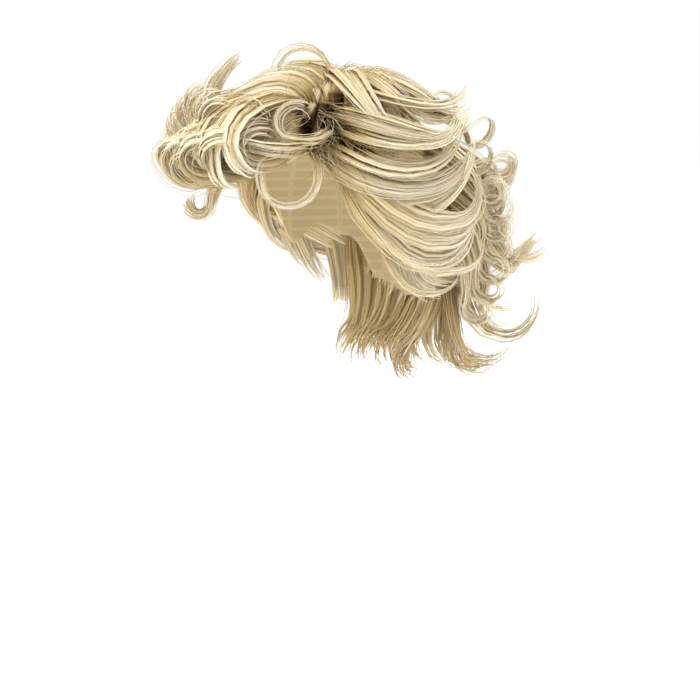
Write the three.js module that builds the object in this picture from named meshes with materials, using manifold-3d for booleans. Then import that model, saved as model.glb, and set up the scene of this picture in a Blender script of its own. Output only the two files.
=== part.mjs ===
// A short, curly synthetic wig: a stretch-net cap, and the hair sewn to it in sections.
// Millimetres, +Z up. The wearer faces -Y and the wearer's left is +X.
// The origin is the inside of the cap's crown, where the top of the head comes to rest.
import * as THREE from "three";
import { ParametricGeometry } from "three/addons/geometries/ParametricGeometry.js";
import { mergeVertices } from "three/addons/utils/BufferGeometryUtils.js";
import Module from "manifold-3d";

const wasm = await Module();
wasm.setup();

// The head that the cap is cut for.
const head = {
  halfBreadth: 77,
  halfLength: 97,
  crownHeight: 97, // from the widest level up to the crown
  napeDepth: 110, // how far the same oval would reach below the widest level
  egg: 0.07, // the back of the head is this much broader than the middle
};

const cap = { wall: 2, turns: 36, rows: 8, color: 0x6b5636 };

// The cap's edge. Turn runs from the forehead to the nape, drop from the crown, both in degrees.
const capEdge = [
  { turn: 0, drop: 62 }, // forehead
  { turn: 20, drop: 60 },
  { turn: 45, drop: 53 }, // temple
  { turn: 65, drop: 62 },
  { turn: 80, drop: 82 },
  { turn: 92, drop: 102 }, // ear tab
  { turn: 106, drop: 93 }, // over the ear
  { turn: 125, drop: 99 },
  { turn: 148, drop: 120 },
  { turn: 180, drop: 127 }, // nape
];

const seam = 0.5; // between the cap and the hair that is sewn to it
const clearance = 0.4; // between one section of hair and the next
const underFacets = { turns: 24, rows: 12 }; // of the surface that the hair lies on
const padFacets = { sides: 12, rings: 3 };

// A lock is flatter than it is wide. It swells out of its root and thins to a soft point.
const lockShape = {
  flat: 0.4, // thickness over width
  root: 0.5, // width at the root over the full width
  swell: 2.4, // how fast it reaches the full width
  taper: 0.55, // the lower, the blunter its point
  full: 1.12,
  sides: 5,
  stationSteps: 3, // from its root to its end station
  curlTurn: 50, // degrees of curl to a step
  ringTurn: 38, // and on a thin lock
  thin: 14,
};

// How far the locks of one weft differ from each other, each way.
const straying = { turn: 3, drop: 2.5, out: 4, run: 0.12, bend: 0.15, sweep: 10 };

// Each section of hair has a pad of close hair and the wefts that grow out of it.
// pad: its middle, its half spread round and down the head in degrees, its thickness.
// Each weft is a row of locks, all alike but for a little stray, one step of turn and drop apart.
// root [turn, drop] is where the first lock is sewn on; mid and end [turn, drop, out] are where it
// passes, out being millimetres off the head. From the end it curls for a run of millimetres,
// with a bend away from the head and a sweep sideways in degrees. roll turns a lock on its edge, and
// fan is the least share of its width that it keeps towards its tip.
const sections = {
  crown: {
    color: 0xe6d6a8,
    pad: { turn: 180, drop: 4, wide: 46, deep: 46, thick: 22 },
    wefts: [
      { locks: 2, step: [32, 0], width: 40, root: [228, 8], mid: [230, 28, 32], end: [234, 48, 44],
        curl: [40, 55, 20] },
      { locks: 1, step: [0, 0], width: 38, root: [50, 39], mid: [33, 33, 28], end: [8, 42, 36],
        curl: [44, 50, -20] }, // combed over the top from the parting
      { locks: 1, step: [0, 0], width: 40, root: [60, 33], mid: [28, 18, 26], end: [-30, 31, 32],
        curl: [44, 40, -10] },
      { locks: 1, step: [0, 0], width: 40, root: [68, 26], mid: [66, 0, 26], end: [80, -34, 36],
        curl: [40, 50, 20] },
      { locks: 1, step: [0, 0], width: 34, root: [73, 16], mid: [95, 40, 34], end: [113, 50, 50],
        curl: [46, 30, 70] }, // swept back from the parting
      { locks: 4, step: [38, 0], width: 40, root: [76, 8], mid: [78, 28, 30], end: [84, 46, 37],
        curl: [42, 40, 60] },
      { locks: 1, step: [0, 0], width: 8, roll: 90, root: [62, 14], mid: [60, 14, 14],
        end: [59, 14, 26], curl: [84, 205, 0] }, // loose loop over the top
      { locks: 1, step: [0, 0], width: 13, root: [118, 32], mid: [133, 48, 34], end: [146, 60, 38],
        curl: [86, 330, 12] }, // rings at the back
      { locks: 1, step: [0, 0], width: 13, root: [108, 22], mid: [120, 33, 25], end: [131, 46, 28],
        curl: [68, 320, 10] },
      { locks: 1, step: [0, 0], width: 12, root: [116, 24], mid: [130, 36, 31], end: [138, 44, 38],
        curl: [40, 95, 0] }, // spike
    ],
  },
  front_roll: {
    color: 0xe2cf9c,
    pad: { turn: 2, drop: 43, wide: 40, deep: 17, thick: 18 },
    wefts: [
      { locks: 4, step: [-15, 0], width: 42, root: [26, 53], mid: [16, 62, 10], end: [6, 69, 25],
        curl: [78, 200, -15], fan: 0.8 }, // barrel roll over the forehead
      { locks: 1, step: [0, 0], width: 32, root: [40, 51], mid: [33, 57, 8], end: [26, 61, 15],
        curl: [64, 215, 0], fan: 0.5 },
      { locks: 4, step: [-15, 1], width: 36, root: [24, 43], mid: [18, 50, 18], end: [12, 56, 30],
        curl: [58, 165, 0], fan: 0.7 }, // taller flicks behind it
      { locks: 1, step: [0, 0], width: 46, root: [-6, 46], mid: [-16, 49, 34], end: [-20, 41, 52],
        curl: [34, 15, -30], fan: 0.4 },
      { locks: 1, step: [0, 0], width: 28, roll: 18, root: [50, 46], mid: [50, 60, 27],
        end: [28, 60, 34], curl: [64, 231, 5], fan: 0.5 }, // curls beside the parting
      { locks: 1, step: [0, 0], width: 24, roll: 33, root: [58, 41], mid: [58, 56, 25],
        end: [47, 59, 33], curl: [54, 201, 2], fan: 0.4 },
      { locks: 2, step: [-13, 0], width: 20, root: [-20, 53], mid: [-24, 70, 10], end: [-28, 81, 12],
        curl: [34, 130, -10] }, // small curls at the right temple
      { locks: 1, step: [0, 0], width: 8, root: [46, 50], mid: [55, 60, 16], end: [58, 71, 20],
        curl: [105, 30, -265] }, // ring on the forehead
    ],
  },
  left_side: {
    color: 0xdcc68e,
    pad: { turn: 98, drop: 63, wide: 44, deep: 35, thick: 15 },
    wefts: [
      { locks: 2, step: [8, -8], width: 34, root: [57, 32], mid: [79, 56, 34], end: [97, 66, 50],
        curl: [46, 30, 70] }, // swept back from the parting
      { locks: 2, step: [6, 8], width: 30, root: [58, 50], mid: [77, 73, 24], end: [97, 74, 44],
        curl: [58, 15, 45] },
      { locks: 2, step: [6, -8], width: 36, root: [70, 62], mid: [83, 90, 28], end: [104, 97, 44],
        curl: [46, 25, 80] }, // over the ear
      { locks: 3, step: [11, 4], width: 32, root: [80, 70], mid: [84, 88, 14], end: [90, 100, 22],
        curl: [40, 40, 40] },
      { locks: 3, step: [0, 19], width: 36, root: [116, 47], mid: [121, 63, 34], end: [124, 77, 43],
        curl: [56, 235, 0] }, // behind the ear
      { locks: 3, step: [4, 11], width: 20, root: [106, 44], mid: [116, 57, 28], end: [122, 67, 36],
        curl: [62, 290, 15] }, // small curls between them
      { locks: 1, step: [0, 0], width: 10, root: [78, 72], mid: [86, 97, 36], end: [112, 101, 50],
        curl: [38, 20, 80] },
      { locks: 1, step: [0, 0], width: 9, root: [84, 84], mid: [88, 105, 30], end: [104, 109, 42],
        curl: [30, 10, 60] },
    ],
  },
  right_side: {
    color: 0xd9c28a,
    pad: { turn: -98, drop: 63, wide: 44, deep: 35, thick: 15 },
    wefts: [
      { locks: 3, step: [-16, 0], width: 36, root: [-56, 34], mid: [-76, 52, 36], end: [-96, 60, 50],
        curl: [45, 50, -50] },
      { locks: 3, step: [-11, 4], width: 36, root: [-60, 54], mid: [-76, 82, 28], end: [-98, 94, 46],
        curl: [50, 40, -60] },
      { locks: 2, step: [-18, 6], width: 36, root: [-76, 68], mid: [-82, 87, 14], end: [-88, 99, 22],
        curl: [40, 40, -40] },
      { locks: 3, step: [0, 19], width: 36, root: [-116, 47], mid: [-121, 63, 34], end: [-124, 77, 43],
        curl: [56, 235, 0] },
    ],
  },
  back: {
    color: 0xd8c084,
    pad: { turn: 180, drop: 72, wide: 60, deep: 38, thick: 22 },
    wefts: [
      { locks: 4, step: [25, 0], width: 40, root: [143, 46], mid: [143, 62, 34], end: [143, 76, 43],
        curl: [56, 240, 0] },
      { locks: 4, step: [25, 0], width: 40, root: [143, 66], mid: [143, 82, 40], end: [143, 95, 54],
        curl: [55, 140, 0] },
      { locks: 4, step: [25, 0], width: 38, root: [143, 86], mid: [143, 101, 32], end: [143, 111, 50],
        curl: [50, 110, 0] },
      { locks: 1, step: [0, 0], width: 30, root: [132, 80], mid: [131, 98, 42], end: [138, 102, 60],
        curl: [44, 115, 0] }, // long flicks
      { locks: 1, step: [0, 0], width: 36, root: [148, 92], mid: [136, 117, 38], end: [139, 120, 80],
        curl: [52, 95, 0] },
    ],
  },
  nape: {
    color: 0xcdb478,
    pad: { turn: 180, drop: 108, wide: 62, deep: 18, thick: 10 },
    wefts: [
      { locks: 5, step: [23, 0], width: 32, root: [134, 101], mid: [134, 120, 32], end: [134, 132, 54],
        curl: [50, 115, 0] },
      { locks: 5, step: [24, 0], width: 38, root: [132, 101], mid: [131, 126, 14], end: [130, 143, 18],
        curl: [40, 105, 0] },
      { locks: 1, step: [0, 0], width: 8, root: [132, 101], mid: [129, 132, 16], end: [132, 149, 26],
        curl: [26, 60, 0] },
    ],
  },
};

const rad = THREE.MathUtils.degToRad;

// A point over the head: turn and drop in degrees, out in millimetres off the head.
function overHead(turn, drop, out) {
  const up = Math.cos(rad(drop));
  const round = Math.sin(rad(drop));
  const fore = round * Math.cos(rad(turn));
  const broad = 1 - head.egg * fore;
  const tall = (up > 0 ? head.crownHeight : head.napeDepth) + out;
  return new THREE.Vector3(
    (head.halfBreadth + out) * broad * round * Math.sin(rad(turn)),
    -(head.halfLength + out) * fore,
    tall * up - head.crownHeight,
  );
}

// The directions at that point: down from the crown, round towards a larger turn, and off the head.
function axesAt(turn, drop) {
  const step = 0.5;
  const down = overHead(turn, drop + step, 0).sub(overHead(turn, drop - step, 0)).normalize();
  const round = overHead(turn + step, drop, 0).sub(overHead(turn - step, drop, 0));
  const off = new THREE.Vector3().crossVectors(down, round).normalize();
  return { down, round: new THREE.Vector3().crossVectors(off, down), off };
}

// Where the cap's edge lies at a turn, eased between the rows of the table.
function edgeDrop(turn) {
  const half = Math.abs(THREE.MathUtils.euclideanModulo(turn + 180, 360) - 180);
  const next = Math.max(1, capEdge.findIndex((row) => row.turn >= half));
  const [a, b] = [capEdge[next - 1], capEdge[next]];
  return a.drop + (b.drop - a.drop) * THREE.MathUtils.smoothstep(half, a.turn, b.turn);
}

// A closed solid from a geometry whose seams and poles meet.
function solidOf(geometry) {
  geometry.deleteAttribute("normal");
  geometry.deleteAttribute("uv");
  const merged = mergeVertices(geometry, 1e-4);
  const corners = merged.index.array;
  const kept = [];
  for (let i = 0; i < corners.length; i += 3) {
    const [a, b, c] = corners.slice(i, i + 3);
    if (a !== b && b !== c && c !== a) kept.push(a, b, c);
  }
  const closed = () =>
    new wasm.Manifold(
      new wasm.Mesh({
        numProp: 3,
        vertProperties: merged.attributes.position.array,
        triVerts: new Uint32Array(kept),
      }),
    );
  const made = closed();
  if (made.volume() > 0) return made;
  for (let i = 0; i < kept.length; i += 3) [kept[i], kept[i + 1]] = [kept[i + 1], kept[i]];
  return closed();
}

// The net cap: up the inside from the crown to the edge, and back over the outside.
function capSolid() {
  const surface = (u, v, target) => {
    const turn = 360 * u;
    const inside = v < 0.5;
    const share = inside ? 2 * v : 2 - 2 * v;
    target.copy(overHead(turn, edgeDrop(turn) * share, inside ? 0 : cap.wall));
  };
  return solidOf(new ParametricGeometry(surface, cap.turns, 2 * cap.rows + 1));
}

// Everything under the hair: the head and the cap, with the seam kept at the middle of each facet.
function underHair({ turns, rows }) {
  const flat = Math.cos(Math.PI / turns) * Math.cos(Math.PI / (2 * rows));
  const over = cap.wall + seam + head.halfLength * (1 / flat - 1);
  const surface = (u, v, target) => target.copy(overHead(360 * u, 180 * v, over));
  return solidOf(new ParametricGeometry(surface, turns, rows));
}

// A steady share from -1 to 1 for each lock, so that no two are alike.
function stray(index, channel) {
  const x = Math.sin(12.9898 * (index + 1) + 78.233 * channel) * 43758.5453;
  return 2 * (x - Math.floor(x)) - 1;
}

// The locks of a section, each with its own stations and curl.
function locksOf(section) {
  const locks = [];
  for (const weft of section.wefts) {
    for (let i = 0; i < weft.locks; i += 1) {
      const index = locks.length;
      const loose = weft.locks > 1 ? 1 : 0;
      const shift = (channel) => [
        weft.step[0] * i + straying.turn * loose * stray(index, channel),
        weft.step[1] * i + straying.drop * loose * stray(index, channel + 1),
        straying.out * loose * stray(index, channel + 2),
      ];
      const moved = (station, by) => station.map((value, axis) => value + by[axis]);
      locks.push({
        width: weft.width,
        roll: weft.roll ?? 0,
        fan: weft.fan ?? 0,
        root: moved(weft.root, shift(0)).concat(cap.wall),
        mid: moved(weft.mid, shift(3)),
        end: moved(weft.end, shift(6)),
        curl: [
          weft.curl[0] * (1 + straying.run * loose * stray(index, 9)),
          weft.curl[1] * (1 + straying.bend * loose * stray(index, 10)),
          weft.curl[2] + straying.sweep * loose * stray(index, 11),
        ],
      });
    }
  }
  return locks;
}

// The line of a lock: smoothly through its stations, then round its curl.
// Each place on it has the way off the head, the way to the side and its share of the length.
function lockLine(lock) {
  const at = (u) =>
    overHead(
      ...lock.root.map(
        (value, axis) =>
          value * (1 - u) * (1 - 2 * u) + lock.mid[axis] * 4 * u * (1 - u) + lock.end[axis] * u * (2 * u - 1),
      ),
    );
  const [run, bend, sweep] = lock.curl;
  const stepTurn = lock.width < lockShape.thin ? lockShape.ringTurn : lockShape.curlTurn;
  const curlSteps = Math.max(3, Math.round((Math.abs(bend) + Math.abs(sweep)) / stepTurn));
  const fine = 8; // the directions are carried in steps this much finer
  const along = at(0.02).sub(at(0)).normalize();
  const { down, off } = axesAt(lock.root[0], lock.root[1]);
  const lift = along.dot(off) ** 6;
  const out = off.clone().multiplyScalar(1 - lift).addScaledVector(down, -lift);
  out.addScaledVector(along, -out.dot(along)).normalize().applyAxisAngle(along, rad(lock.roll));
  const side = new THREE.Vector3();
  const point = at(0);
  const line = [];
  let reach = 0;
  const carry = (next) => {
    reach += next.distanceTo(point);
    point.copy(next);
    out.addScaledVector(along, -out.dot(along)).normalize();
    side.crossVectors(out, along);
  };
  const keep = () => line.push({ reach, point: point.clone(), out: out.clone(), side: side.clone() });
  for (let i = 0; i <= lockShape.stationSteps * fine; i += 1) {
    const u = i / (lockShape.stationSteps * fine);
    along.copy(at(u + 0.01)).sub(at(u - 0.01)).normalize();
    carry(at(u));
    if (i % fine === 0) keep();
  }
  for (let i = 1; i <= curlSteps * fine; i += 1) {
    const share = 1 / (curlSteps * fine);
    [along, out].forEach((axis) => axis.applyAxisAngle(side, -rad(bend) * share));
    along.applyAxisAngle(out, rad(sweep) * share);
    carry(point.clone().addScaledVector(along, run * share));
    if (i % fine === 0) keep();
  }
  line.forEach((place) => (place.share = place.reach / reach));
  return line;
}

// The share of its full width that a lock has at a share of its length.
function lockShare(u) {
  const { root, swell, taper, full } = lockShape;
  return full * Math.min(1, root + swell * u) * (1 - u) ** taper;
}

function lockSolid(lock, grow) {
  const line = lockLine(lock);
  const last = line.length - 1;
  const surface = (u, v, target) => {
    const i = Math.round(v * last);
    const { point, side, out, share } = line[i];
    const end = i === 0 || i === last;
    const body = (lock.width / 2) * Math.max(lockShare(share), lock.fan);
    const half = end ? 0 : body + grow;
    const thin = end ? 0 : body * lockShape.flat + grow;
    target
      .copy(point)
      .addScaledVector(side, half * Math.sin(2 * Math.PI * u))
      .addScaledVector(out, thin * Math.cos(2 * Math.PI * u));
  };
  return solidOf(new ParametricGeometry(surface, lockShape.sides, last));
}

// The close hair that a section's locks grow out of: thickest in the middle, and ending at the cap's edge.
function padSolid(pad, grow) {
  const middle = new THREE.Vector3(0, 0, 1);
  const aside = new THREE.Vector3(1, 0, 0);
  const below = new THREE.Vector3(0, -1, 0);
  [middle, aside, below].forEach((axis) => {
    axis.applyAxisAngle(new THREE.Vector3(1, 0, 0), rad(pad.drop));
    axis.applyAxisAngle(new THREE.Vector3(0, 0, 1), rad(pad.turn));
  });
  const surface = (u, v, target) => {
    const reach = 1 - Math.abs(2 * v - 1);
    const wide = rad(pad.wide) * reach * Math.cos(2 * Math.PI * u);
    const deep = rad(pad.deep) * reach * Math.sin(2 * Math.PI * u);
    const far = Math.hypot(wide, deep);
    const spread = far > 0 ? Math.sin(far) / far : 0;
    const way = middle.clone().multiplyScalar(Math.cos(far));
    way.addScaledVector(aside, wide * spread).addScaledVector(below, deep * spread);
    const turn = THREE.MathUtils.radToDeg(Math.atan2(way.x, -way.y));
    const drop = THREE.MathUtils.radToDeg(Math.acos(THREE.MathUtils.clamp(way.z, -1, 1)));
    const sewn = Math.min(drop, edgeDrop(turn) - 1);
    const over = v > 0.5 ? (pad.thick + grow) * (1 - reach ** 4) : -1;
    target.copy(overHead(turn, sewn, cap.wall + over));
  };
  return solidOf(new ParametricGeometry(surface, padFacets.sides, 2 * padFacets.rings));
}

function sectionSolid(section, grow) {
  const locks = locksOf(section).map((lock) => lockSolid(lock, grow));
  return locks.reduce((joined, lock) => joined.add(lock), padSolid(section.pad, grow));
}

// Only the hair that stays joined to its pad is kept.
function joined(solid) {
  return solid.decompose().reduce((a, b) => (b.volume() > a.volume() ? b : a));
}

function meshOf(name, solid, color, roughness) {
  const { vertProperties, triVerts } = solid.getMesh();
  const geometry = new THREE.BufferGeometry();
  geometry.setAttribute("position", new THREE.BufferAttribute(vertProperties, 3));
  geometry.setIndex(new THREE.BufferAttribute(triVerts, 1));
  geometry.computeVertexNormals();
  const mesh = new THREE.Mesh(
    geometry,
    new THREE.MeshStandardMaterial({ color, roughness, metalness: 0 }),
  );
  mesh.name = name;
  return mesh;
}

const wig = new THREE.Group();
wig.add(meshOf("cap", capSolid(), cap.color, 0.9));

let taken = underHair(underFacets);
for (const [name, section] of Object.entries(sections)) {
  wig.add(meshOf(name, joined(sectionSolid(section, 0).subtract(taken)), section.color, 0.45));
  taken = taken.add(sectionSolid(section, clearance));
}

export default wig;
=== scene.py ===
import bisect
import math
import random

import bpy
from mathutils import Matrix, Vector


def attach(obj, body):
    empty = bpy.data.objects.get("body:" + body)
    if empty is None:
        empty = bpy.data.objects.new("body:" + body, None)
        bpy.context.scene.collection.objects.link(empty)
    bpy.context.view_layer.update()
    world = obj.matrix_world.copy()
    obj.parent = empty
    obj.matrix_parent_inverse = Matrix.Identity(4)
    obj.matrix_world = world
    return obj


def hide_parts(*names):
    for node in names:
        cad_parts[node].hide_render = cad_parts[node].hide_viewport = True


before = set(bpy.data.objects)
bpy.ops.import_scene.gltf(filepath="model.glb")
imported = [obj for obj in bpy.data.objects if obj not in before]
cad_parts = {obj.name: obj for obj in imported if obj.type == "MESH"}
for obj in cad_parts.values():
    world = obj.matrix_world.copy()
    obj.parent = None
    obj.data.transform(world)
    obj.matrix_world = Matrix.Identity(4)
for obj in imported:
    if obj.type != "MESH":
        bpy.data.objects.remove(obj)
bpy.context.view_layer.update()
mm = 0.001


def toLinear(hexColour):
    channels = [int(hexColour[i:i + 2], 16) / 255 for i in (1, 3, 5)]
    return [c / 12.92 if c <= 0.04045 else ((c + 0.055) / 1.055) ** 2.4 for c in channels] + [1.0]


# Adds one node to a shader or geometry tree: sockets are set or linked by name or number.
def addNode(tree, kind, sockets=None, **settings):
    node = tree.nodes.new(kind)
    for name, value in settings.items():
        setattr(node, name, value)
    for key, value in (sockets or {}).items():
        if isinstance(value, bpy.types.NodeSocket):
            tree.links.new(value, node.inputs[key])
        else:
            node.inputs[key].default_value = value
    return node


def newMaterial(name):
    material = bpy.data.materials.new(name)
    material.use_nodes = True
    return material, material.node_tree, material.node_tree.nodes["Principled BSDF"]


def addObject(name, data):
    made = bpy.data.objects.new(name, data)
    bpy.context.scene.collection.objects.link(made)
    return made


def blendStep(value, low, high):
    share = min(1.0, max(0.0, (value - low) / (high - low)))
    return share * share * (3 - 2 * share)


# The head that the cap is cut for, in millimetres. Turn 0 is the forehead, drop 0 the crown.
head = dict(halfBreadth=77, halfLength=97, crownHeight=97, napeDepth=110, egg=0.07)


def overHead(turn, drop, out):
    up, around = math.cos(math.radians(drop)), math.sin(math.radians(drop))
    fore = around * math.cos(math.radians(turn))
    tall = (head["crownHeight"] if up > 0 else head["napeDepth"]) + out
    return mm * Vector((
        (head["halfBreadth"] + out) * (1 - head["egg"] * fore) * around * math.sin(math.radians(turn)),
        -(head["halfLength"] + out) * fore,
        tall * up - head["crownHeight"],
    ))


# Down from the crown and off the head, at a place on it.
def axesAt(turn, drop):
    down = (overHead(turn, drop + 0.5, 0) - overHead(turn, drop - 0.5, 0)).normalized()
    around = overHead(turn + 0.5, drop, 0) - overHead(turn - 0.5, drop, 0)
    return down, down.cross(around).normalized()


# materials
fibreColours = dict(
    grades=[(0.0, "#2E2217"), (0.12, "#664F33"), (0.26, "#B59C6C"), (0.42, "#E1CFA3"),
            (0.7, "#F5EBD0"), (1.0, "#FDF8EA")],  # root to tip
    tones=[(0.3, "#BCA475"), (0.42, "#E4D6B5"), (0.52, "#FBF6E8"), (0.64, "#FFFFFF")],
    streaks=32,  # a streak is then about 0.7 mm of a wisp, a few strands wide
    relief=0.12, reliefDepth=0.5, roughness=0.42, specular=0.4, rootSpecular=0.08, glossyFrom=0.4,
)


# Heat-set modacrylic fibre: dark at the roots by the parting, honey below and pale at the tips,
# each strand a little lighter or browner than the next, with the soft gloss of plastic fibre.
def fibreMaterial(settings):
    material, tree, shader = newMaterial("modacrylic fibre, heat-set curls")
    strand = addNode(tree, "ShaderNodeUVMap", uv_map="OFBake")
    parts = addNode(tree, "ShaderNodeSeparateXYZ", {0: strand.outputs[0]})
    streaks = addNode(tree, "ShaderNodeTexNoise",
                      {"W": parts.outputs[0], "Scale": settings["streaks"], "Detail": 2.0},
                      noise_dimensions="1D")
    ramps = []
    for stops, source in ((settings["grades"], parts.outputs[1]), (settings["tones"], streaks.outputs[0])):
        ramp = addNode(tree, "ShaderNodeValToRGB", {0: source})
        while len(ramp.color_ramp.elements) < len(stops):
            ramp.color_ramp.elements.new(0.5)
        for element, (place, colour) in zip(ramp.color_ramp.elements, stops):
            element.position = place
            element.color = toLinear(colour)
        ramps.append(ramp.outputs[0])
    tinted = addNode(tree, "ShaderNodeMix", {0: 1.0, 6: ramps[0], 7: ramps[1]},
                     data_type="RGBA", blend_type="MULTIPLY")
    relief = addNode(tree, "ShaderNodeBump", {"Strength": settings["relief"],
                                              "Distance": settings["reliefDepth"] * mm,
                                              "Height": streaks.outputs[0]})
    tree.links.new(tinted.outputs[2], shader.inputs["Base Color"])
    tree.links.new(relief.outputs[0], shader.inputs["Normal"])
    shader.inputs["Roughness"].default_value = settings["roughness"]
    gloss = addNode(tree, "ShaderNodeMapRange", {0: parts.outputs[1], 1: 0.0, 2: settings["glossyFrom"],
                                                 3: settings["rootSpecular"], 4: settings["specular"]})
    shader.inputs["Specular IOR Level"].default_value = settings["specular"]
    tree.links.new(gloss.outputs[0], shader.inputs["Specular IOR Level"])
    return material


netColours = dict(
    thread="#CDBC95", hole="#BBA97F", tape="#D5C6A0", stitch="#CBBA93",
    threadPitch=1.6,  # coarser than real net, so that it shows
    rowPitch=9.0, tapeWidth=3.2, ribbonPitch=45.0, ribbonWidth=5.0, softEdge=0.3,
    holeFade=(-0.1, 0.6), stitchFade=(0.2, 0.7), roughness=0.85,
)


# Stretch net with rows of machine stitching: fine holes a little darker than the thread, a pale tape
# under each row of hair, and ribbons from the crown to the edge.
def netMaterial(settings):
    material, tree, shader = newMaterial("stretch net, sewn on tapes")
    sheet = addNode(tree, "ShaderNodeUVMap", uv_map="OFBake")
    parts = addNode(tree, "ShaderNodeSeparateXYZ", {0: sheet.outputs[0]})
    thread, hole, tape, stitch = (toLinear(settings[key]) for key in ("thread", "hole", "tape", "stitch"))
    waves, tapes = [], []
    lanes = [(parts.outputs[0], capSettings["round"], settings["ribbonPitch"], settings["ribbonWidth"]),
             (parts.outputs[1], capSettings["deep"], settings["rowPitch"], settings["tapeWidth"])]
    for share, size, pitch, width in lanes:
        length = addNode(tree, "ShaderNodeMath", {0: share, 1: size}, operation="MULTIPLY").outputs[0]
        turns = addNode(tree, "ShaderNodeMath", {0: length, 1: math.tau / settings["threadPitch"]},
                        operation="MULTIPLY").outputs[0]
        waves.append(addNode(tree, "ShaderNodeMath", {0: turns}, operation="SINE").outputs[0])
        away = addNode(tree, "ShaderNodeMath", {0: length, 1: pitch / 2},
                       operation="PINGPONG").outputs[0]
        inner, outer = width / 2 - settings["softEdge"], width / 2 + settings["softEdge"]
        tapes.append(addNode(tree, "ShaderNodeMapRange",
                             {0: away, 1: inner, 2: outer, 3: 1.0, 4: 0.0}).outputs[0])
    holes = addNode(tree, "ShaderNodeMath", {0: waves[0], 1: waves[1]}, operation="MULTIPLY").outputs[0]
    low, high = settings["holeFade"]
    holes = addNode(tree, "ShaderNodeMapRange", {0: holes, 1: low, 2: high}).outputs[0]
    mesh = addNode(tree, "ShaderNodeMix", {0: holes, 6: thread, 7: hole}, data_type="RGBA").outputs[2]
    low, high = settings["stitchFade"]
    stitches = addNode(tree, "ShaderNodeMapRange", {0: waves[0], 1: low, 2: high}).outputs[0]
    sewn = addNode(tree, "ShaderNodeMix", {0: stitches, 6: tape, 7: stitch}, data_type="RGBA").outputs[2]
    taped = addNode(tree, "ShaderNodeMath", {0: tapes[0], 1: tapes[1]}, operation="MAXIMUM").outputs[0]
    colour = addNode(tree, "ShaderNodeMix", {0: taped, 6: mesh, 7: sewn}, data_type="RGBA").outputs[2]
    tree.links.new(colour, shader.inputs["Base Color"])
    shader.inputs["Roughness"].default_value = settings["roughness"]
    return material


# the cap is laid out flat for its pattern, round by deep millimetres
capSettings = dict(wall=2.0, turns=120, rows=36, rim=1.004, round=540.0, deep=220.0, edge=[  # turn, drop
    (0, 62), (20, 60), (45, 53), (65, 62), (80, 82),
    (92, 102), (106, 93), (125, 99), (148, 120), (180, 127)])
fibre = fibreMaterial(fibreColours)
net = netMaterial(netColours)
print("materials ready")


# the cap
def edgeDrop(turn):
    half = abs((turn + 180) % 360 - 180)
    for (t0, d0), (t1, d1) in zip(capSettings["edge"], capSettings["edge"][1:]):
        if half <= t1:
            return d0 + (d1 - d0) * blendStep(half, t0, t1)


# Up the inside from the crown to the edge, round it, and back over the outside.
def capNet(settings):
    turns, rows = settings["turns"], settings["rows"]
    rings = [(r / rows, 0.0) for r in range(1, rows + 1)]
    rings += [(settings["rim"], share * settings["wall"]) for share in (0.3, 0.7)]
    rings += [(r / rows, settings["wall"]) for r in range(rows, 0, -1)]
    points, sheet = [overHead(0, 0, 0), overHead(0, 0, settings["wall"])], [0.0, 0.0]
    for share, out in rings:
        for t in range(turns):
            turn = 360 * t / turns
            drop = edgeDrop(turn) * share
            points.append(overHead(turn, drop, out))
            sheet.append(math.radians(drop) * head["halfLength"] / settings["deep"])
    faces, columns = [], []
    last = len(rings) - 1
    for t in range(turns):
        after = (t + 1) % turns
        faces.append((0, 2 + t, 2 + after))
        faces.append((1, 2 + last * turns + after, 2 + last * turns + t))
        columns += [t, t, t + 1, t, t + 1, t]
        for r in range(last):
            a, b = 2 + r * turns, 2 + (r + 1) * turns
            faces.append((a + t, b + t, b + after, a + after))
            columns += [t, t, t + 1, t + 1]
    mesh = bpy.data.meshes.new("capNet")
    mesh.from_pydata(points, [], faces)
    uv = mesh.uv_layers.new(name="OFBake")
    for loop, column in zip(mesh.loops, columns):
        uv.data[loop.index].uv = (column / turns, sheet[loop.vertex_index])
    mesh.polygons.foreach_set("use_smooth", [True] * len(mesh.polygons))
    mesh.materials.append(net)
    return addObject("capNet", mesh)


cap = capNet(capSettings)
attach(cap, "root")
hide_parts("cap")
print("cap", len(cap.data.polygons), "faces")


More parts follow.
